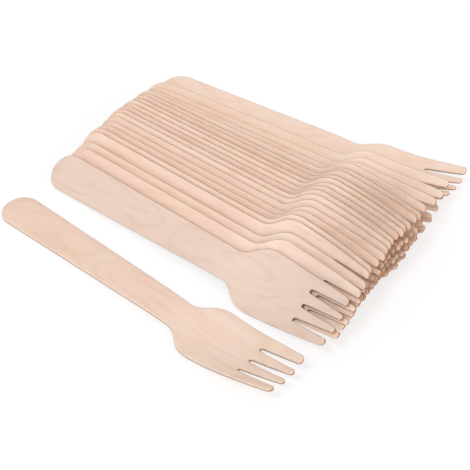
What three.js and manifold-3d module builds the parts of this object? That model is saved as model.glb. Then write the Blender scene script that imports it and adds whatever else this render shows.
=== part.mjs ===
// A pack of flat wooden forks: a leaning pile, spread sideways like a hand of cards,
// and one more fork lying on its own in front. Each fork is one piece of birch veneer,
// die-cut to outline and pressed so that its head drops below the handle, is dished
// across, and rises again towards the tips.
// Millimetres. A fork's own frame: x from the handle's end to the tips, y across,
// z up from the underside of the handle. The pile's frame: +X along the handles
// towards the tips, +Y from the front fork to the rear one, +Z up from the table.

import * as THREE from "three";
import { mergeVertices } from "three/addons/utils/BufferGeometryUtils.js";
import Module from "manifold-3d";

// The fork's outline
const FORK_LENGTH = 160;
const HANDLE_END_WIDTH = 17.5;
const HANDLE_END_ROUND = 8.5;
const NECK_WIDTH = 13.8;
const NECK_FROM_TIPS = 56.4;
const HEAD_WIDTH = 28.4;
const HEAD_FROM_TIPS = 40;
const TIPS_WIDTH = 21.9;
const TIP_CORNER = 4.2;

// How far the edge runs on straight before it curves, as shares of the stretches from
// the neck to the widest place of the head and from there to the tips.
const NECK_EASE = 0.37;
const SHOULDER_EASE = 0.57;
const HEAD_EASE = 0.02;
const TAPER_EASE = 0.04;
const TAPER_BOW = 0.16;

// The tines and the slots between them. The outer tines end a little short of the rest.
const TINE_COUNT = 4;
const OUTER_TINE_SHORT = 0.75;
const SLOT_LENGTH = 19.4;
const SLOT_ROOT_WIDTH = 1.8;
const SLOT_MOUTH_WIDTH = 3.4;
const SLOT_ROOT_PITCH = 6.5;
const SLOT_MOUTH_PITCH = 5.75;
const INNER_TIP_ROUND = 1.3;

// The veneer and its pressed shape
const VENEER_THICKNESS = 1.5;
const HEAD_DROP = 3.95;
const DROP_STARTS_FROM_TIPS = 69.4;
const DROP_ENDS_FROM_TIPS = 21.1;
const TIPS_RISE = 8.2;
const RISE_POWER = 1.7;
const DISH_DEPTH = 3.2;
const DISH_FULL_FROM_TIPS = 6.4;

// How far a cut reaches past the piece that it cuts
const SPARE = 1;

// How fine the curves are
const ROUND_END_STEPS = 10;
const EDGE_STEPS = 7;
const CORNER_STEPS = 3;
const BEND_STEPS = 10;
const DISH_STEPS = 3;

// The pile, from its rear fork to its front one. A step is how far a fork's near edge
// lies in front of the last one's, on the table. A slide moves a fork along its handle.
const PILE_STEPS = [
  13.8, 6.9, 4.0, 2.7, 2.5, 2.3, 2.4, 2.8, 3.3, 3.0,
  2.7, 3.1, 3.6, 4.2, 3.3, 3.0, 3.4, 7.8, 4.6, 7.1,
];
const PILE_SLIDES = [
  0.6, 1.0, 4.0, 4.6, 5.2, 6.4, 6.0, 7.0, 6.0, 6.4, 5.4,
  5.8, 6.0, 6.2, 6.8, 7.0, 7.8, 8.2, 9.0, 9.8, 7.4,
];

// The turn of the forks on the table, in degrees, at even places through the pile
const PILE_TURNS = [5.25, 1.16, 0.13, -0.66, -0.89];

// How the forks rest on each other. The step station is where along a fork its near
// edge is placed, and leans are in degrees.
const STEP_STATION = 30;
const FORK_GAP = 0.15;
const BALANCE_FROM_TIPS = 73.6;
const STEEPEST_LEAN = 70;
const LEAN_HALVINGS = 18;
const STEP_MEND = 0.2;
const TOUCH_MARGIN = 0.5;
const HANDLE_STATIONS = 8;

// The loose fork in front. The space is what its near edge keeps, over the width of a
// head, from the near edge of the pile's front fork.
const LOOSE_SPACE = 1.5;
const LOOSE_SLIDE = -2.4;
const LOOSE_TURN = -2.6;

// Colours of the veneer, pale to warm
const VENEER_COLOURS = [0xebd3c2, 0xeed3b9, 0xe8cdb8, 0xefd9c8];
const VENEER_ROUGHNESS = 0.75;

const wasm = await Module();
wasm.setup();

const degrees = Math.PI / 180;

// The plan outline

// Points of a cubic curve from one place on the edge to the next, without its start.
function edgeCurve(start, pull1, pull2, end) {
  const curve = new THREE.CubicBezierCurve(
    new THREE.Vector2(...start),
    new THREE.Vector2(...pull1),
    new THREE.Vector2(...pull2),
    new THREE.Vector2(...end),
  );
  return curve.getPoints(EDGE_STEPS).slice(1);
}

const tipsX = FORK_LENGTH;
const neckX = FORK_LENGTH - NECK_FROM_TIPS;
const headX = FORK_LENGTH - HEAD_FROM_TIPS;
const slotX = FORK_LENGTH - SLOT_LENGTH;

// Where a tine that stands at a distance from the middle line ends.
function tineEndX(y) {
  return tipsX - OUTER_TINE_SHORT * (y / (TIPS_WIDTH / 2)) ** 2;
}

// One long edge of the fork, from the round handle end to the outer tine's corner.
function longEdge() {
  const endHalf = HANDLE_END_WIDTH / 2;
  const neckHalf = NECK_WIDTH / 2;
  const headHalf = HEAD_WIDTH / 2;
  const tipsHalf = TIPS_WIDTH / 2;
  const points = [new THREE.Vector2(0, 0)];
  for (let i = 1; i <= ROUND_END_STEPS; i++) {
    const a = ((i / ROUND_END_STEPS) * Math.PI) / 2;
    points.push(new THREE.Vector2(HANDLE_END_ROUND * (1 - Math.cos(a)), endHalf * Math.sin(a)));
  }
  const shoulder = headX - neckX;
  points.push(new THREE.Vector2(neckX, neckHalf));
  points.push(
    ...edgeCurve(
      [neckX, neckHalf],
      [neckX + NECK_EASE * shoulder, neckHalf],
      [headX - SHOULDER_EASE * shoulder, headHalf],
      [headX, headHalf],
    ),
  );
  const cornerX = tineEndX(tipsHalf) - TIP_CORNER;
  const taper = cornerX - headX;
  points.push(
    ...edgeCurve(
      [headX, headHalf],
      [headX + HEAD_EASE * taper, headHalf],
      [cornerX - TAPER_EASE * taper, tipsHalf + TAPER_BOW * (headHalf - tipsHalf)],
      [cornerX, tipsHalf],
    ),
  );
  return points;
}

// The middle of slot number i at its root, counted from the +y side, and its two flanks
// at its mouth.
function slotFlanks(i) {
  const place = (TINE_COUNT - 2) / 2 - i;
  const mouth = place * SLOT_MOUTH_PITCH;
  return {
    root: place * SLOT_ROOT_PITCH,
    mouthHigh: mouth + SLOT_MOUTH_WIDTH / 2,
    mouthLow: mouth - SLOT_MOUTH_WIDTH / 2,
  };
}

// A quarter round from one point to another, with the square corner it replaces.
function roundCorner(from, corner, to) {
  const curve = new THREE.QuadraticBezierCurve(from, corner, to);
  return curve.getPoints(CORNER_STEPS);
}

// The tips and slots, from the outer corner on the +y side to the one on the -y side.
function tinesEdge() {
  const points = [];
  const v = (x, y) => new THREE.Vector2(x, y);
  const tipsHalf = TIPS_WIDTH / 2;
  for (let tine = 0; tine < TINE_COUNT; tine++) {
    const first = tine === 0;
    const last = tine === TINE_COUNT - 1;
    const high = first ? tipsHalf : slotFlanks(tine - 1).mouthLow;
    const low = last ? -tipsHalf : slotFlanks(tine).mouthHigh;
    const middle = (high + low) / 2;
    const highReach = first ? TIP_CORNER : INNER_TIP_ROUND;
    const lowReach = last ? TIP_CORNER : INNER_TIP_ROUND;
    const endHigh = tineEndX(first ? tipsHalf : middle);
    const endLow = tineEndX(last ? tipsHalf : middle);
    const end = (endHigh + endLow) / 2;
    points.push(...roundCorner(v(endHigh - highReach, high), v(endHigh, high), v(end, middle)));
    points.push(
      ...roundCorner(v(end, middle), v(endLow, low), v(endLow - lowReach, low)).slice(1),
    );
    if (last) break;
    const slot = slotFlanks(tine);
    const rootRound = SLOT_ROOT_WIDTH / 2;
    for (let i = 0; i <= CORNER_STEPS; i++) {
      const a = (i / CORNER_STEPS) * Math.PI;
      points.push(
        v(slotX + rootRound * (1 - Math.sin(a)), slot.root + rootRound * Math.cos(a)),
      );
    }
  }
  return points;
}

function forkOutline() {
  const upper = longEdge();
  const lower = upper
    .slice(1, -1)
    .map((p) => new THREE.Vector2(p.x, -p.y))
    .reverse();
  const points = [...upper.slice(0, -1), ...tinesEdge(), ...lower];
  return new THREE.Shape(points);
}

// The pressed shape

// A gentle step from 0 to 1 between two places.
function easeBetween(from, to, x) {
  const share = Math.min(Math.max((x - from) / (to - from), 0), 1);
  return share * share * (3 - 2 * share);
}

// How high the underside stands over the underside of the handle: the head drops, is
// dished across, and rises towards the tips.
const dropFrom = FORK_LENGTH - DROP_STARTS_FROM_TIPS;
const dropTo = FORK_LENGTH - DROP_ENDS_FROM_TIPS;
const dishTo = FORK_LENGTH - DISH_FULL_FROM_TIPS;
function pressedHeight(x, y) {
  const riseFrom = (dropFrom + dropTo) / 2;
  const rise = Math.max((x - riseFrom) / (FORK_LENGTH - riseFrom), 0) ** RISE_POWER;
  const dish = easeBetween(dropFrom, dishTo, x) * (y / (HEAD_WIDTH / 2)) ** 2;
  return TIPS_RISE * rise + DISH_DEPTH * dish - HEAD_DROP * easeBetween(dropFrom, dropTo, x);
}

// The places along and across the fork between which its faces are flat. The places
// across are those on one side of the middle line, and both sides are alike.
const alongPlaces = [-SPARE];
for (let i = 0; i <= BEND_STEPS; i++) {
  alongPlaces.push(dropFrom + (i / BEND_STEPS) * (tipsX + SPARE - dropFrom));
}
const sideReach = HEAD_WIDTH / 2 + SPARE;
const acrossPlaces = Array.from(
  { length: DISH_STEPS + 1 },
  (_, i) => (i / DISH_STEPS) * sideReach,
);

// The stretch of a row of places that holds a value, and its share of the way along it.
function stretchOf(places, value) {
  let i = 0;
  while (i < places.length - 2 && value > places[i + 1]) i += 1;
  return [i, (value - places[i]) / (places[i + 1] - places[i])];
}

// The height of the underside as it is built, from flat faces.
function underside(x, y) {
  const [i, u] = stretchOf(alongPlaces, x);
  const [j, v] = stretchOf(acrossPlaces, Math.abs(y));
  const corner = (di, dj) => pressedHeight(alongPlaces[i + di], acrossPlaces[j + dj]);
  const start = corner(0, 0);
  const end = corner(1, 1);
  if (v <= u) return start + u * (corner(1, 0) - start) + v * (end - corner(1, 0));
  return start + v * (corner(0, 1) - start) + u * (end - corner(0, 1));
}

// The veneer before it is cut: a sheet of even thickness with the pressed shape, a
// little longer and wider than the fork.
function sheetGeometry() {
  const across = [...acrossPlaces.slice(1).reverse().map((y) => -y), ...acrossPlaces];
  const rows = alongPlaces.length;
  const columns = across.length;
  const corners = [];
  for (const lift of [0, VENEER_THICKNESS]) {
    for (const x of alongPlaces) {
      for (const y of across) corners.push(x, y, pressedHeight(x, Math.abs(y)) + lift);
    }
  }
  const at = (level, i, j) => level * rows * columns + i * columns + j;
  const faces = [];
  for (let i = 0; i < rows - 1; i++) {
    for (let j = 0; j < columns - 1; j++) {
      for (const level of [0, 1]) {
        const [a, b] = [at(level, i, j), at(level, i + 1, j)];
        const [c, d] = [at(level, i + 1, j + 1), at(level, i, j + 1)];
        const outside = across[j] >= 0 ? [a, b, c, a, c, d] : [a, b, d, b, c, d];
        faces.push(...(level ? outside : outside.reverse()));
      }
    }
  }
  const wall = ([a, b], [d, c]) => faces.push(a, b, c, a, c, d);
  for (let i = 0; i < rows - 1; i++) {
    wall([at(0, i, 0), at(0, i + 1, 0)], [at(1, i, 0), at(1, i + 1, 0)]);
    const far = columns - 1;
    wall([at(0, i + 1, far), at(0, i, far)], [at(1, i + 1, far), at(1, i, far)]);
  }
  for (let j = 0; j < columns - 1; j++) {
    wall([at(0, 0, j + 1), at(0, 0, j)], [at(1, 0, j + 1), at(1, 0, j)]);
    const last = rows - 1;
    wall([at(0, last, j), at(0, last, j + 1)], [at(1, last, j), at(1, last, j + 1)]);
  }
  const geometry = new THREE.BufferGeometry();
  geometry.setAttribute("position", new THREE.Float32BufferAttribute(corners, 3));
  geometry.setIndex(faces);
  return geometry;
}

// Solids

function toSolid(geometry) {
  geometry.deleteAttribute("normal");
  geometry.deleteAttribute("uv");
  const merged = mergeVertices(geometry, 1e-4);
  const mesh = new wasm.Mesh({
    numProp: 3,
    vertProperties: new Float32Array(merged.attributes.position.array),
    triVerts: new Uint32Array(merged.index.array),
  });
  return new wasm.Manifold(mesh);
}

function toGeometry(solid) {
  const mesh = solid.getMesh();
  const geometry = new THREE.BufferGeometry();
  geometry.setAttribute("position", new THREE.BufferAttribute(mesh.vertProperties, 3));
  geometry.setIndex(new THREE.BufferAttribute(mesh.triVerts, 1));
  geometry.computeVertexNormals();
  return geometry;
}

// The fork is its outline, cut square through the pressed sheet.
function forkGeometry() {
  const cutter = new THREE.ExtrudeGeometry(forkOutline(), {
    depth: HEAD_DROP + TIPS_RISE + DISH_DEPTH + VENEER_THICKNESS + 2 * SPARE,
    bevelEnabled: false,
  });
  cutter.translate(0, 0, -HEAD_DROP - SPARE);
  return toGeometry(toSolid(cutter).intersect(toSolid(sheetGeometry())));
}

// How the forks lean

// Half the fork's width at a place along it, from its own long edge.
const edgePoints = longEdge();
edgePoints.push(new THREE.Vector2(tipsX, TIPS_WIDTH / 2 - TIP_CORNER / 2));
function halfWidthAt(x) {
  for (let i = 1; i < edgePoints.length; i++) {
    const a = edgePoints[i - 1];
    const b = edgePoints[i];
    if (x <= b.x) return a.y + ((x - a.x) / (b.x - a.x || 1)) * (b.y - a.y);
  }
  return 0;
}

// Points spread over the fork's underside, in rows from edge to edge: at every corner
// of its edge and of its pressed shape, and some more along the straight handle.
const stations = [
  ...edgePoints.map((p) => p.x),
  ...alongPlaces.filter((x) => x > 0 && x < tipsX),
  ...Array.from({ length: HANDLE_STATIONS }, (_, i) => ((i + 1) / (HANDLE_STATIONS + 1)) * neckX),
].sort((a, b) => a - b);
const undersideRows = stations.map((x) => {
  const half = halfWidthAt(x);
  const side = [...acrossPlaces.filter((y) => y < half), half];
  const across = [...side, ...side.map((y) => -y)];
  return across.map((y) => new THREE.Vector3(x, y, underside(x, y)));
});
const undersidePoints = undersideRows.flat();
const topPoints = undersidePoints.map(
  (p) => new THREE.Vector3(p.x, p.y, p.z + VENEER_THICKNESS),
);
const balanceX = FORK_LENGTH - BALANCE_FROM_TIPS;

// The pitch at which a fork, rolled by a lean, rests on the table: on one place behind
// its balance point and one place ahead of it.
function restingPitch(lean) {
  const sine = Math.sin(lean);
  const cosine = Math.cos(lean);
  const low = undersideRows.map((row) => Math.min(...row.map((p) => p.y * sine + p.z * cosine)));
  let best = 0;
  let bestHeight = Infinity;
  for (let i = 0; i < stations.length; i++) {
    for (let j = i + 1; j < stations.length; j++) {
      if (stations[i] > balanceX || stations[j] <= balanceX) continue;
      const slope = (low[j] - low[i]) / (stations[j] - stations[i]);
      const height = low[i] + slope * (balanceX - stations[i]);
      if (height >= bestHeight) continue;
      best = slope;
      bestHeight = height;
    }
  }
  return Math.atan(best);
}

// Seen from above, a fork's near edge runs outwards from the handle to the head, and
// less so the more the fork leans. This turn makes up for it, so that two forks' edges
// are as far apart at the head as they are at the handle.
function edgeTurn(lean) {
  const spread = (HEAD_WIDTH - HANDLE_END_WIDTH) / 2;
  const run = headX - HANDLE_END_ROUND;
  return Math.atan((spread * Math.cos(lean)) / run) - Math.atan(spread / run);
}

// A fork's place: leant about its own length, pitched until it rests on the table,
// turned, and set down with its near edge at the given point.
function placeFork(nearEdge, turn, lean) {
  const matrix = new THREE.Matrix4()
    .makeRotationZ(turn + edgeTurn(lean))
    .multiply(new THREE.Matrix4().makeRotationY(restingPitch(lean)))
    .multiply(new THREE.Matrix4().makeRotationX(lean));
  const edge = new THREE.Vector3(STEP_STATION, -halfWidthAt(STEP_STATION), 0).applyMatrix4(matrix);
  const lowest = Math.min(...undersidePoints.map((p) => p.clone().applyMatrix4(matrix).z));
  matrix.setPosition(nearEdge.x - edge.x, nearEdge.y - edge.y, -lowest);
  return matrix;
}

// The smallest distance from the points of one fork to a face of the other, counted
// only where the points lie over or under that face.
function gapAlong(points, from, to, distanceFromFace) {
  const across = new THREE.Matrix4().copy(to).invert().multiply(from);
  let least = Infinity;
  for (const point of points) {
    const p = point.clone().applyMatrix4(across);
    if (p.x < -TOUCH_MARGIN || p.x > tipsX + TOUCH_MARGIN) continue;
    const halfWidth = halfWidthAt(Math.min(Math.max(p.x, 0), tipsX));
    if (Math.abs(p.y) > halfWidth + TOUCH_MARGIN) continue;
    least = Math.min(least, distanceFromFace(p));
  }
  return least;
}

// The gap between a fork and the one behind it, from either one's points to the other.
function gapBetween(front, behind) {
  const underFront = (p) => underside(p.x, p.y) - p.z;
  const overBehind = (p) => p.z - underside(p.x, p.y) - VENEER_THICKNESS;
  return Math.min(
    gapAlong(topPoints, behind, front, underFront),
    gapAlong(undersidePoints, front, behind, overBehind),
  );
}

// The place at which a fork leans just clear of the one behind it. Where not even the
// steepest lean clears it, the fork's step grows until one does.
function leanOn(behind, nearEdge, turn) {
  const steepest = STEEPEST_LEAN * degrees;
  while (gapBetween(placeFork(nearEdge, turn, steepest), behind) < FORK_GAP) {
    nearEdge.y -= STEP_MEND;
  }
  let low = 0;
  let high = steepest;
  for (let i = 0; i < LEAN_HALVINGS; i++) {
    const lean = (low + high) / 2;
    if (gapBetween(placeFork(nearEdge, turn, lean), behind) >= FORK_GAP) high = lean;
    else low = lean;
  }
  return placeFork(nearEdge, turn, high);
}

// The pack

const forkShape = forkGeometry();
const pack = new THREE.Group();

function addFork(name, matrix, number) {
  const material = new THREE.MeshStandardMaterial({
    color: VENEER_COLOURS[number % VENEER_COLOURS.length],
    roughness: VENEER_ROUGHNESS,
    metalness: 0,
  });
  const mesh = new THREE.Mesh(forkShape, material);
  mesh.name = name;
  mesh.applyMatrix4(matrix);
  pack.add(mesh);
}

// The turn of a pile fork, from the turns given at even places through the pile.
function turnOf(number) {
  const place = (number / PILE_STEPS.length) * (PILE_TURNS.length - 1);
  const i = Math.min(Math.floor(place), PILE_TURNS.length - 2);
  return (PILE_TURNS[i] + (place - i) * (PILE_TURNS[i + 1] - PILE_TURNS[i])) * degrees;
}

const nearEdge = new THREE.Vector3(STEP_STATION + PILE_SLIDES[0], 0, 0);
let lastPlace = placeFork(nearEdge, turnOf(0), 0);
addFork("fork_01", lastPlace, 0);
for (let i = 1; i <= PILE_STEPS.length; i++) {
  nearEdge.x = STEP_STATION + PILE_SLIDES[i];
  nearEdge.y -= PILE_STEPS[i - 1];
  lastPlace = leanOn(lastPlace, nearEdge, turnOf(i));
  addFork("fork_" + String(i + 1).padStart(2, "0"), lastPlace, i);
}
nearEdge.x += LOOSE_SLIDE;
nearEdge.y -= HEAD_WIDTH + LOOSE_SPACE;
addFork("loose_fork", placeFork(nearEdge, LOOSE_TURN * degrees, 0), 1);

// The pack stands with the middle of its box over the origin and the table at z = 0.
pack.updateMatrixWorld(true);
const box = new THREE.Box3().setFromObject(pack, true);
const middle = box.getCenter(new THREE.Vector3());
pack.position.set(-middle.x, -middle.y, -box.min.z);

export default pack;
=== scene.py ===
import math
import random
from collections import namedtuple

import bmesh
import bpy
import numpy as np
from mathutils import Matrix, Vector


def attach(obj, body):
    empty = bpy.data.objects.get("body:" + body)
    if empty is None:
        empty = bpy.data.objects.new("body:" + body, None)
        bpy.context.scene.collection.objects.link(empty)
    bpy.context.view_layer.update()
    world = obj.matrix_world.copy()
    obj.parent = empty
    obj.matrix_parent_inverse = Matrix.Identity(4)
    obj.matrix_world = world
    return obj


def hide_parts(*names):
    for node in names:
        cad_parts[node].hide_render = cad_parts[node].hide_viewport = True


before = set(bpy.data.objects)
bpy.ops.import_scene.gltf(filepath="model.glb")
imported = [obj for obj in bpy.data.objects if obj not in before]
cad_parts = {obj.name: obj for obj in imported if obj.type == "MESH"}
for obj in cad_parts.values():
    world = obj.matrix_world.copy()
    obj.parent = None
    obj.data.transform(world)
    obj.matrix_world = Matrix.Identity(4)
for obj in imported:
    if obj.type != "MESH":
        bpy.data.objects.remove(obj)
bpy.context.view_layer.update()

MM = 0.001

# The fork's outline, in millimetres from the end of its handle to its tips

FORK_LENGTH = 160.0
HANDLE_END_WIDTH = 17.5
HANDLE_END_ROUND = 8.5
NECK_WIDTH = 13.8
NECK_FROM_TIPS = 56.4
HEAD_WIDTH = 28.4
HEAD_FROM_TIPS = 40.0
TIPS_WIDTH = 21.9
TIP_CORNER = 4.2
NECK_EASE = 0.37
SHOULDER_EASE = 0.57
HEAD_EASE = 0.02
TAPER_EASE = 0.04
TAPER_BOW = 0.16

# Its tines

TINE_COUNT = 4
OUTER_TINE_SHORT = 0.75
SLOT_LENGTH = 19.4
SLOT_ROOT_WIDTH = 1.8
SLOT_MOUTH_WIDTH = 3.4
SLOT_ROOT_PITCH = 6.5
SLOT_MOUTH_PITCH = 5.75
INNER_TIP_ROUND = 1.3

# Its veneer, the scoop pressed into the head, and the eased edge

VENEER_THICKNESS = 1.5
HEAD_DROP = 3.95
DROP_STARTS_FROM_TIPS = 69.4
DROP_ENDS_FROM_TIPS = 21.1
TIPS_RISE = 8.2
RISE_POWER = 1.7
DISH_DEPTH = 3.2
DISH_FULL_FROM_TIPS = 6.4
EDGE_EASE = 0.20
EASE_STEPS = 2
SHARP_TURN = math.radians(50)

# How the cut edge is marked. The lower share of its height is painted darker, a little more on the
# far
# side: painted shade for the gaps between piled forks and among the tines. A face that turns to
# the ends of the fork shows end grain, darker wood whose warm orange is partly painted warm shade.
# The upper corner on the far side is painted dark, a painted shadow line between two piled forks,
# fainter where they lean steeply

GAP_SHADE_SHARE = 0.5
GAP_SHADE_STRENGTH = 0.8
GAP_SHADE_FAR = 0.15
END_GRAIN_WARM_SHADE_TURN = (0.45, 0.95)
SHADOW_LINE_TURN = 0.15
SHADOW_LINE_SHADE_FLAT = 0.8
SHADOW_LINE_SHADE_STEEP = 0.55
SHADOW_LINE_LEANS = (30, 46)

# How finely the curves are cut

ROUND_END_STEPS = 24
EDGE_STEPS = 22
CORNER_STEPS = 6
HANDLE_CUTS = 12
BEND_CUTS = 42
DISH_CUTS = 10

# Where the eye stands

EYE_ELEVATION = math.radians(43.66)
EYE_TURN = math.radians(38.5)
EYE_DISTANCE = 475.0
EYE_LENS = 84.26
EYE_SENSOR = 36.0
EYE_NEAR = 0.01
AIM_FROM_REAR_FORK = (96.3, -65.2)

# Light

SKY_STRENGTH = 0.63
KEY_STRENGTH = 1.16
KEY_SPREAD = math.radians(16)
KEY_TOWARDS = (0.02, 0.60, -1.0)
KEY_COLOUR = (1.0, 1.0, 1.0)
FILL_STRENGTH = 1.10
FILL_SPREAD = math.radians(50)
FILL_TOWARDS = (-1.0, 0.40, -0.45)
FILL_COLOUR = (1.0, 0.95, 0.90)
FLOOR_REACH = 4.0
FLOOR_BOUNCE = 0.80
FLOOR_GLOW = 0.7
BLACK = (0.0, 0.0, 0.0, 1.0)
WHITE = (1.0, 1.0, 1.0, 1.0)


# Shader maths


class Grain:
    """A value that changes over the veneer: one socket, with arithmetic that adds Math nodes."""

    def __init__(self, finish, socket):
        self.finish = finish
        self.socket = socket

    def _math(self, operation, first, second=0.0):
        return self.finish.add("ShaderNodeMath", {"operation": operation}, {0: first, 1: second})

    def __add__(self, other):
        return self._math("ADD", self, other)

    def __radd__(self, other):
        return self._math("ADD", other, self)

    def __sub__(self, other):
        return self._math("SUBTRACT", self, other)

    def __rsub__(self, other):
        return self._math("SUBTRACT", other, self)

    def __mul__(self, other):
        return self._math("MULTIPLY", self, other)

    def __rmul__(self, other):
        return self._math("MULTIPLY", other, self)

    def __pow__(self, other):
        return self._math("POWER", self, other)

    def sine(self):
        return self._math("SINE", self)

    def between(self, low, high):
        """0 up to low, 1 from high on, smooth between them."""
        return self.finish.add(
            "ShaderNodeMapRange",
            {"interpolation_type": "SMOOTHSTEP"},
            {"Value": self, "From Min": low, "From Max": high, "To Min": 0.0, "To Max": 1.0},
        )


class Finish:
    """The nodes of one material, or of the sky."""

    def __init__(self, owner):
        owner.use_nodes = True
        self.tree = owner.node_tree
        self.tree.nodes.clear()

    def add(self, kind, settings=None, inputs=None, output=0):
        """A new node: its settings first, then the values or links of its inputs."""
        node = self.tree.nodes.new(kind)
        for name, value in (settings or {}).items():
            setattr(node, name, value)
        for key, value in (inputs or {}).items():
            if isinstance(value, Grain):
                self.tree.links.new(value.socket, node.inputs[key])
            else:
                node.inputs[key].default_value = value
        return Grain(self, node.outputs[output]) if node.outputs else None

    def in_sight(self):
        """1 for what the eye sees, straight or reflected, and 0 for what lights the forks."""
        kinds = ("Is Camera Ray", "Is Glossy Ray", "Is Transmission Ray")
        camera, glossy, through = (self.add("ShaderNodeLightPath", output=kind) for kind in kinds)
        return camera + glossy + through

    def vector(self, operation, first, second):
        return self.add("ShaderNodeVectorMath", {"operation": operation}, {0: first, 1: second})

    def marked(self, name):
        """What fork_mesh wrote on the faces under this name, from 0 to 1."""
        return self.add("ShaderNodeAttribute", {"attribute_name": name}, output="Fac")

    def blend(self, share, first, second, blend_type="MIX"):
        """A colour from first, where share is 0, to second, where it is 1."""
        return self.add(
            "ShaderNodeMix",
            {"data_type": "RGBA", "blend_type": blend_type},
            {"Factor": share, 6: first, 7: second},
            output=2,
        )

    def noise(self, place, cell, shift, detail=2.0, roughness=0.5):
        """Noise whose cells are cell millimetres long, wide and deep."""
        stretched = self.vector("MULTIPLY", place, tuple(1.0 / side for side in cell))
        moved = self.vector("ADD", stretched, shift)
        return self.add(
            "ShaderNodeTexNoise",
            {"noise_dimensions": "3D"},
            {"Vector": moved, "Scale": 1.0, "Detail": detail, "Roughness": roughness},
        )


def linear(hex_colour):
    """A colour written as six hex digits, in the linear values that a shader takes."""
    made = []
    for i in (0, 2, 4):
        c = int(hex_colour[i : i + 2], 16) / 255.0
        made.append(c / 12.92 if c <= 0.04045 else ((c + 0.055) / 1.055) ** 2.4)
    return (*made, 1.0)


# The veneer

PALE = "ebd4c6"
WARM = "edcfb2"
ROSY = "eac6b8"
HEAD_PAINTED_LIGHT = "f8e7d9"
RING = "d9b599"
FLECK = "c79b78"
UNDERSIDE_PAINTED_SHADE = "eed6c0"
CUT_PALE = "f6e6d6"
CUT_DARK = "dcc4b0"
GAP_SHADE_COLOUR = "8c4a24"
END_GRAIN_WARM_SHADE = "cf8450"

# The length, width and depth of each mark's cells, in millimetres, and the most cells that its
# noise is moved by

FIBRE_CELL = (11.0, 0.28, 0.28)
STREAK_CELL = (46.0, 1.7, 1.7)
PATCH_CELL = (17.0, 7.0, 7.0)
BLUSH_CELL = (24.0, 8.0, 8.0)
GROWTH_CELL = (62.0, 17.0, 17.0)
PORE_CELL = (3.4, 0.30, 0.30)
TEAR_CELL = (2.2, 0.5, 0.22)
SHIFT_REACH = 40.0

# The values of its noise at which each mark begins and is full, and how strong it is. The painted
# light that makes the head paler begins and is full at distances in millimetres from the end of
# the handle

PATCH_SPAN, PATCH_STRENGTH = (0.36, 0.66), 0.45
WARM_BASE = 0.15
BLUSH_SPAN, BLUSH_STRENGTH, BLUSH_BASE = (0.40, 0.72), 0.5, 0.25
HEAD_SPAN = (90.0, 114.0)
RING_TURNS, RING_WANDER, RING_NARROWNESS = 62.0, 0.8, 3.0
RING_BASE, RING_STRENGTH, RING_FADE_SPAN = 0.12, 0.14, (0.38, 0.62)
STREAK_SPAN, STREAK_STRENGTH = (0.50, 0.74), 0.16
FIBRE_SPAN, FIBRE_STRENGTH = (0.44, 0.78), 0.16
PORE_SPAN, PORE_STRENGTH = (0.66, 0.76), 0.30
TEAR_SPAN = (0.40, 0.68)
END_GRAIN_WARM_SHADE_STRENGTH = 0.8

# Its relief and its gloss

FIBRE_RELIEF = 0.55
TEAR_RELIEF = 1.2
PIT_SPAN, PIT_RELIEF = (0.64, 0.78), 0.5
BUMP_STRENGTH = 0.35
BUMP_DEPTH = 0.00006
ROUGHNESS = 0.60
FIBRE_ROUGHNESS = 0.16
CUT_ROUGHNESS = 0.10
SPECULAR = 0.32

# How warm and rosy a fork is, how bright, and how much painted light makes its head paler. The
# forks that show most have tints of their own, and the others draw theirs from the ranges

Tint = namedtuple("Tint", "warmth rosiness shade paleness")
# The front fork, fork_21, is painted darker and the rear fork, fork_01, brighter: painted shade
# and painted light that offset how the lamps fall on them
TINTS = {
    "loose_fork": Tint(-0.02, 0.85, 0.948, 0.20),
    "fork_21": Tint(-0.60, 0.40, 0.865, 0.10),
    "fork_01": Tint(-0.20, 0.50, 1.03, 0.05),
}
WARMTH_RANGE = (-0.10, 0.25)
ROSINESS_RANGE = (0.30, 0.95)
SHADE_RANGE = (0.94, 1.0)
PILE_HEAD_PAINTED_LIGHT = 0.40
TINT_SEED = 21
VENEER_SEED = 100


def drawn_tint(rng):
    warmth = rng.uniform(*WARMTH_RANGE)
    rosiness = rng.uniform(*ROSINESS_RANGE)
    return Tint(warmth, rosiness, rng.uniform(*SHADE_RANGE), PILE_HEAD_PAINTED_LIGHT)


def drawn_shift(rng):
    """How far a mark's noise is moved, so that no two forks are alike."""
    return tuple(rng.uniform(-SHIFT_REACH, SHIFT_REACH) for _ in range(3))


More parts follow.
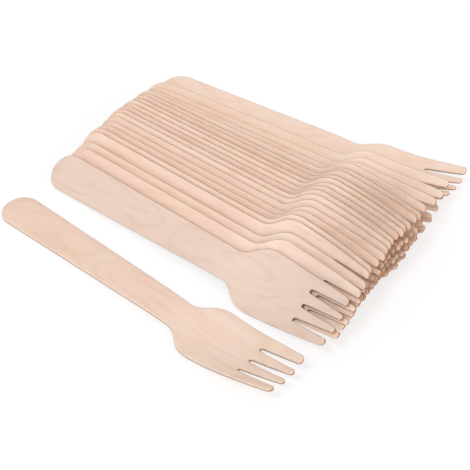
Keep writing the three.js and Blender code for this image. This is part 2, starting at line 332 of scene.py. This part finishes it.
def veneer(name, seed, tint, shadow_line_shade):
    """Sanded birch: fine grain along the fork, soft warm and rosy patches, and the
    curved lines of the rings that the blade cut through. Its head is painted paler, painted light
    against the shade of steep heads. Its end grain is darker, its orange partly painted warm
    shade, and its cut edge carries painted shade below and a painted shadow line along the far
    corner."""
    material = bpy.data.materials.new(name)
    finish = Finish(material)
    rng = random.Random(seed)
    metres = finish.add("ShaderNodeTexCoord", output="Object")
    place = finish.vector("MULTIPLY", metres, (1 / MM, 1 / MM, 1 / MM))
    along = finish.add("ShaderNodeSeparateXYZ", inputs={"Vector": place})

    fibres = finish.noise(place, FIBRE_CELL, drawn_shift(rng), detail=3.0, roughness=0.6)
    streaks = finish.noise(place, STREAK_CELL, drawn_shift(rng))
    patches = finish.noise(place, PATCH_CELL, drawn_shift(rng))
    blushes = finish.noise(place, BLUSH_CELL, drawn_shift(rng), detail=1.5)
    growth = finish.noise(place, GROWTH_CELL, drawn_shift(rng), detail=1.2, roughness=0.35)
    pores = finish.noise(place, PORE_CELL, drawn_shift(rng), detail=1.0)
    tears = finish.noise(place, TEAR_CELL, drawn_shift(rng), detail=3.0, roughness=0.6)

    warm = patches.between(*PATCH_SPAN) * PATCH_STRENGTH + tint.warmth + WARM_BASE
    rosy = (blushes.between(*BLUSH_SPAN) * BLUSH_STRENGTH + BLUSH_BASE) * tint.rosiness
    waves = (growth * RING_TURNS + fibres * RING_WANDER).sine() * 0.5 + 0.5
    rings = waves**RING_NARROWNESS * (patches.between(*RING_FADE_SPAN) * RING_STRENGTH + RING_BASE)
    face_colour = linear(PALE)
    for share, tone in (
        (warm, WARM),
        (rosy, ROSY),
        # The head made paler: painted light, more on the piled forks whose steep heads fall in
        # shade
        (along.between(*HEAD_SPAN) * tint.paleness, HEAD_PAINTED_LIGHT),
        (rings, RING),
        (streaks.between(*STREAK_SPAN) * STREAK_STRENGTH, RING),
        (fibres.between(*FIBRE_SPAN) * FIBRE_STRENGTH, RING),
        (pores.between(*PORE_SPAN) * PORE_STRENGTH, FLECK),
    ):
        face_colour = finish.blend(share, face_colour, linear(tone))
    # Faces that face down are multiplied by a warm tint: painted shade
    underside = finish.marked("underside")
    face_colour = finish.blend(underside, face_colour, linear(UNDERSIDE_PAINTED_SHADE), "MULTIPLY")

    cut = finish.marked("cut_edge")
    # Painted shade: the lower band of the cut edge and its far upper corner are darkened for the
    # gaps between piled forks
    edge_shade = finish.marked("painted_gap_shade") + finish.marked("painted_shadow_line") * shadow_line_shade
    cut_colour = linear(CUT_PALE)
    for share, tone in (
        (tears.between(*TEAR_SPAN), CUT_DARK),
        # End grain is darker wood, and its warm orange is partly painted warm shade among the tine
        # tips
        (finish.marked("end_grain_warm_shade") * END_GRAIN_WARM_SHADE_STRENGTH, END_GRAIN_WARM_SHADE),
        (edge_shade, GAP_SHADE_COLOUR),
    ):
        cut_colour = finish.blend(share, cut_colour, linear(tone))

    colour = finish.blend(cut, face_colour, cut_colour)
    colour = finish.blend(1.0, colour, (tint.shade, tint.shade, tint.shade, 1.0), "MULTIPLY")
    pits = pores.between(*PIT_SPAN) * PIT_RELIEF
    relief = fibres * FIBRE_RELIEF + tears * cut * TEAR_RELIEF - pits
    bump = finish.add(
        "ShaderNodeBump",
        inputs={"Strength": BUMP_STRENGTH, "Distance": BUMP_DEPTH, "Height": relief},
    )
    surface = finish.add(
        "ShaderNodeBsdfPrincipled",
        inputs={
            "Base Color": colour,
            "Roughness": ROUGHNESS + fibres * FIBRE_ROUGHNESS + cut * CUT_ROUGHNESS,
            "Specular IOR Level": SPECULAR,
            "Normal": bump,
        },
    )
    finish.add("ShaderNodeOutputMaterial", inputs={"Surface": surface})
    return material


# The fork


def along_curve(start, pull1, pull2, end, steps):
    """Points of a cubic curve, without its start."""
    points = []
    for i in range(1, steps + 1):
        t = i / steps
        weights = ((1 - t) ** 3, 3 * t * (1 - t) ** 2, 3 * t * t * (1 - t), t**3)
        corners = (start, pull1, pull2, end)
        points.append(tuple(sum(w * c[k] for w, c in zip(weights, corners)) for k in (0, 1)))
    return points


def rounded_corner(start, corner, end):
    """Points of a soft corner, from its start to its end."""
    points = []
    for i in range(CORNER_STEPS + 1):
        t = i / CORNER_STEPS
        weights = ((1 - t) ** 2, 2 * t * (1 - t), t * t)
        points.append(
            tuple(sum(w * c[k] for w, c in zip(weights, (start, corner, end))) for k in (0, 1))
        )
    return points


def tine_end_x(y):
    """Where a tine that stands at a distance from the middle line ends."""
    return FORK_LENGTH - OUTER_TINE_SHORT * (y / (TIPS_WIDTH / 2)) ** 2


def long_edge():
    """One long edge, from the round handle end to the outer tine's corner."""
    neck_x = FORK_LENGTH - NECK_FROM_TIPS
    head_x = FORK_LENGTH - HEAD_FROM_TIPS
    corner_x = tine_end_x(TIPS_WIDTH / 2) - TIP_CORNER
    neck, head, tips = NECK_WIDTH / 2, HEAD_WIDTH / 2, TIPS_WIDTH / 2
    points = []
    for i in range(ROUND_END_STEPS + 1):
        a = i / ROUND_END_STEPS * math.pi / 2
        points.append((HANDLE_END_ROUND * (1 - math.cos(a)), HANDLE_END_WIDTH / 2 * math.sin(a)))
    points.append((neck_x, neck))
    shoulder = head_x - neck_x
    points += along_curve(
        (neck_x, neck),
        (neck_x + NECK_EASE * shoulder, neck),
        (head_x - SHOULDER_EASE * shoulder, head),
        (head_x, head),
        EDGE_STEPS,
    )
    taper = corner_x - head_x
    points += along_curve(
        (head_x, head),
        (head_x + HEAD_EASE * taper, head),
        (corner_x - TAPER_EASE * taper, tips + TAPER_BOW * (head - tips)),
        (corner_x, tips),
        EDGE_STEPS,
    )
    return points


def slot_places(i):
    """The middle of slot i at its root, and its flanks at its mouth, from the +y side."""
    place = (TINE_COUNT - 2) / 2 - i
    mouth = place * SLOT_MOUTH_PITCH
    return place * SLOT_ROOT_PITCH, mouth + SLOT_MOUTH_WIDTH / 2, mouth - SLOT_MOUTH_WIDTH / 2


def tines_edge():
    """The tips and slots, from the outer corner on the +y side to the one on the -y side."""
    slot_x = FORK_LENGTH - SLOT_LENGTH
    half = TIPS_WIDTH / 2
    points = []
    for tine in range(TINE_COUNT):
        first, last = tine == 0, tine == TINE_COUNT - 1
        high = half if first else slot_places(tine - 1)[2]
        low = -half if last else slot_places(tine)[1]
        middle = (high + low) / 2
        high_reach = TIP_CORNER if first else INNER_TIP_ROUND
        low_reach = TIP_CORNER if last else INNER_TIP_ROUND
        end_high = tine_end_x(half if first else middle)
        end_low = tine_end_x(half if last else middle)
        end = (end_high + end_low) / 2
        points += rounded_corner((end_high - high_reach, high), (end_high, high), (end, middle))
        points += rounded_corner((end, middle), (end_low, low), (end_low - low_reach, low))[1:]
        if last:
            break
        root = slot_places(tine)[0]
        round_root = SLOT_ROOT_WIDTH / 2
        for i in range(CORNER_STEPS + 1):
            a = i / CORNER_STEPS * math.pi
            points.append(
                (slot_x + round_root * (1 - math.sin(a)), root + round_root * math.cos(a))
            )
    return points


def fork_outline():
    upper = long_edge()
    lower = [(x, -y) for x, y in upper[1:-1]][::-1]
    return upper[:-1] + tines_edge() + lower


def ease_between(start, end, x):
    share = min(max((x - start) / (end - start), 0.0), 1.0)
    return share * share * (3 - 2 * share)


def pressed_height(x, y):
    """How high the underside stands: the head drops, is dished across, and rises again."""
    start = FORK_LENGTH - DROP_STARTS_FROM_TIPS
    end = FORK_LENGTH - DROP_ENDS_FROM_TIPS
    middle = (start + end) / 2
    rise = max(0.0, (x - middle) / (FORK_LENGTH - middle)) ** RISE_POWER
    dish = ease_between(start, FORK_LENGTH - DISH_FULL_FROM_TIPS, x) * (y / (HEAD_WIDTH / 2)) ** 2
    return TIPS_RISE * rise + DISH_DEPTH * dish - HEAD_DROP * ease_between(start, end, x)


def cut_at(bm, place, facing):
    everything = bm.verts[:] + bm.edges[:] + bm.faces[:]
    bmesh.ops.bisect_plane(bm, geom=everything, plane_co=place, plane_no=facing)


def flat_blank():
    """The fork as it is stamped from the sheet, its edges eased, cut finely enough to press."""
    bm = bmesh.new()
    flat = bm.faces.new([bm.verts.new((x, y, 0.0)) for x, y in fork_outline()])
    lifted = bmesh.ops.extrude_face_region(bm, geom=[flat])["geom"]
    for vert in lifted:
        if isinstance(vert, bmesh.types.BMVert):
            vert.co.z = VENEER_THICKNESS
    bmesh.ops.recalc_face_normals(bm, faces=bm.faces[:])
    rims = [e for e in bm.edges if e.verts[0].co.z == e.verts[1].co.z]
    bmesh.ops.bevel(
        bm, geom=rims, offset=EDGE_EASE, segments=EASE_STEPS, profile=0.5, affect="EDGES"
    )
    pressed_from = FORK_LENGTH - DROP_STARTS_FROM_TIPS
    for i in range(1, HANDLE_CUTS + 1):
        cut_at(bm, (pressed_from * i / HANDLE_CUTS, 0, 0), (1, 0, 0))
    for i in range(1, BEND_CUTS):
        cut_at(bm, (pressed_from + DROP_STARTS_FROM_TIPS * i / BEND_CUTS, 0, 0), (1, 0, 0))
    for i in range(1, DISH_CUTS):
        cut_at(bm, (0, HEAD_WIDTH * (i / DISH_CUTS - 0.5), 0), (0, 1, 0))
    # The blank is parted at the top of the cut edge's band of painted shade
    cut_at(bm, (0, 0, VENEER_THICKNESS * GAP_SHADE_SHARE), (0, 0, 1))
    bm.normal_update()
    return bm


def face_marks(face):
    """What a face of the flat blank shows, each from 0 to 1. The lower part of the cut edge
    carries painted shade, darker on the far side, and the upper corner on the far side a painted
    shadow line."""
    normal = face.normal
    # The upper corner on the far side is painted dark: a painted shadow line for the gap between
    # piled forks
    painted_shadow_line = min(normal.y, normal.z) > SHADOW_LINE_TURN
    low = face.calc_center_median().z < VENEER_THICKNESS * GAP_SHADE_SHARE
    # Faces turned to the fork's ends: end grain, partly painted warm shade
    end_from, end_full = END_GRAIN_WARM_SHADE_TURN
    end = (abs(normal.x) - end_from) / (end_full - end_from)
    return {
        "cut_edge": 1.0 if painted_shadow_line else 1.0 - min(1.0, normal.z**2),
        "underside": max(0.0, -normal.z),
        "end_grain_warm_shade": min(1.0, max(0.0, end)),
        "painted_gap_shade": low * (GAP_SHADE_STRENGTH + GAP_SHADE_FAR * normal.y),
        "painted_shadow_line": float(painted_shadow_line),
    }


def fork_mesh():
    """The fork in its own frame, in metres: the blank marked while it is flat, then pressed."""
    bm = flat_blank()
    marks = [face_marks(face) for face in bm.faces]
    for vert in bm.verts:
        vert.co.z += pressed_height(vert.co.x, vert.co.y)
    bmesh.ops.scale(bm, vec=(MM, MM, MM), verts=bm.verts[:])
    for face in bm.faces:
        face.smooth = True
    mesh = bpy.data.meshes.new("fork")
    bm.to_mesh(mesh)
    bm.free()
    for name in marks[0]:
        written = mesh.attributes.new(name, "FLOAT", "FACE").data
        written.foreach_set("value", [mark[name] for mark in marks])
    mesh.set_sharp_from_angle(angle=SHARP_TURN)
    return mesh


# Where each fork lies


# The tips are what lies beyond this share of the way from the centre to the furthest point

TIPS_REACH = 0.9


def solid_frame(mesh):
    """The axes and the centre of a fork's solid: along it to the tips, across, and up. They are
    those of its second moments, added up over the tetrahedra from one point to each triangle."""
    mesh.calc_loop_triangles()
    places = np.empty(len(mesh.vertices) * 3)
    mesh.vertices.foreach_get("co", places)
    places = places.reshape(-1, 3)
    corners = np.empty(len(mesh.loop_triangles) * 3, dtype=np.int64)
    mesh.loop_triangles.foreach_get("vertices", corners)
    start = places.mean(axis=0)
    a, b, c = (places[corners.reshape(-1, 3)[:, k]] - start for k in range(3))
    volume = np.einsum("ij,ij->i", a, np.cross(b, c)) / 6
    total = volume.sum()
    centre = ((a + b + c) / 4 * volume[:, None]).sum(axis=0) / total
    moments = sum(np.einsum("i,ij,ik->jk", volume, p, p) for p in (a, b, c, a + b + c))
    spread = moments / 20 / total - np.outer(centre, centre)
    axes = np.linalg.eigh(spread)[1]
    along, up = axes[:, 2], axes[:, 0]
    around = places - start - centre
    if (around @ along).mean() < 0:
        along = -along
    ahead = around @ along
    tips = around[ahead > TIPS_REACH * ahead.max()]
    if (tips @ up).mean() < (around @ up).mean():
        up = -up
    made = Matrix(np.column_stack([along, np.cross(up, along), up]).tolist()).to_4x4()
    made.translation = Vector(start + centre)
    return made


def shadow_line_shade_at(place):
    """How dark the painted shadow line on the far corner of a fork in this place is: less as it
    leans more.
    """
    lean = math.degrees(place.to_3x3().col[2].angle(Vector((0, 0, 1))))
    steepness = ease_between(*SHADOW_LINE_LEANS, lean)
    return SHADOW_LINE_SHADE_FLAT + (SHADOW_LINE_SHADE_STEEP - SHADOW_LINE_SHADE_FLAT) * steepness


def lay_fork(node, mesh, place, material):
    """A finished fork in the place of a node of the frame."""
    fork = bpy.data.objects.new("veneer_" + node, mesh.copy())
    fork.data.materials.append(material)
    bpy.context.scene.collection.objects.link(fork)
    fork.matrix_world = place
    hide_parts(node)
    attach(fork, "root")


def lay_forks():
    """All the forks of the pack. Returns where the rear fork's handle ends."""
    mesh = fork_mesh()
    own_frame = solid_frame(mesh)
    rng = random.Random(TINT_SEED)
    places = {}
    for number, node in enumerate(sorted(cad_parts)):
        drawn = drawn_tint(rng)
        places[node] = solid_frame(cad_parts[node].data) @ own_frame.inverted()
        tint = TINTS.get(node, drawn)
        # How dark this fork's painted shadow line is
        shade = shadow_line_shade_at(places[node])
        material = veneer("birch_" + node, VENEER_SEED + number, tint, shade)
        lay_fork(node, mesh, places[node], material)
    return places["fork_01"].translation


# Floor, light and camera


def lay_floor():
    """A white floor. It shows white to the eye, with a faint shadow, and bounces less."""
    mesh = bpy.data.meshes.new("floor")
    sides = (-FLOOR_REACH, FLOOR_REACH)
    mesh.from_pydata([(x, y, 0.0) for x in sides for y in sides], [], [(0, 2, 3, 1)])
    floor = bpy.data.objects.new("floor", mesh)
    bpy.context.scene.collection.objects.link(floor)
    material = bpy.data.materials.new("white_floor")
    finish = Finish(material)
    seen = finish.in_sight()
    colour = finish.blend(seen + FLOOR_BOUNCE * (1.0 - seen), BLACK, WHITE)
    matt = finish.add("ShaderNodeBsdfDiffuse", inputs={"Color": colour})
    glow = finish.add("ShaderNodeEmission", inputs={"Strength": 1.0})
    surface = finish.add("ShaderNodeMixShader", inputs={0: seen * FLOOR_GLOW, 1: matt, 2: glow})
    finish.add("ShaderNodeOutputMaterial", inputs={"Surface": surface})
    mesh.materials.append(material)


def hang_lamp(name, strength, spread, towards, colour):
    lamp = bpy.data.lights.new(name, "SUN")
    lamp.energy = strength
    lamp.angle = spread
    lamp.color = colour
    hung = bpy.data.objects.new(name, lamp)
    hung.rotation_mode = "QUATERNION"
    hung.rotation_quaternion = Vector(towards).to_track_quat("-Z", "Y")
    bpy.context.scene.collection.objects.link(hung)


def hang_lights():
    """A white sky for soft light, a wide lamp that gives the forks their shading, and a
    low, warm one that reaches in among the tips of the tines."""
    world = bpy.data.worlds.new("sky")
    bpy.context.scene.world = world
    sky = Finish(world)
    lit = sky.add("ShaderNodeBackground", inputs={"Color": WHITE, "Strength": SKY_STRENGTH})
    shown = sky.add("ShaderNodeBackground", inputs={"Color": WHITE, "Strength": 1.0})
    surface = sky.add("ShaderNodeMixShader", inputs={0: sky.in_sight(), 1: lit, 2: shown})
    sky.add("ShaderNodeOutputWorld", inputs={"Surface": surface})
    hang_lamp("key", KEY_STRENGTH, KEY_SPREAD, KEY_TOWARDS, KEY_COLOUR)
    hang_lamp("fill", FILL_STRENGTH, FILL_SPREAD, FILL_TOWARDS, FILL_COLOUR)


def place_camera(rear_end):
    """The photograph's eye, aimed at a point on the table beside the rear fork's end."""
    aim_x, aim_y = AIM_FROM_REAR_FORK
    aim = Vector((rear_end.x + aim_x * MM, rear_end.y + aim_y * MM, 0))
    flat = math.cos(EYE_ELEVATION)
    back = Vector((math.sin(EYE_TURN) * flat, -math.cos(EYE_TURN) * flat, math.sin(EYE_ELEVATION)))
    lens = bpy.data.cameras.new("eye")
    lens.sensor_width = EYE_SENSOR
    lens.lens = EYE_LENS
    lens.clip_start = EYE_NEAR
    eye = bpy.data.objects.new("eye", lens)
    eye.rotation_mode = "QUATERNION"
    eye.location = aim + back * EYE_DISTANCE * MM
    eye.rotation_quaternion = (-back).to_track_quat("-Z", "Y")
    bpy.context.scene.collection.objects.link(eye)
    bpy.context.scene.camera = eye


place_camera(lay_forks())
lay_floor()
hang_lights()
bpy.context.scene.view_settings.view_transform = "Standard"
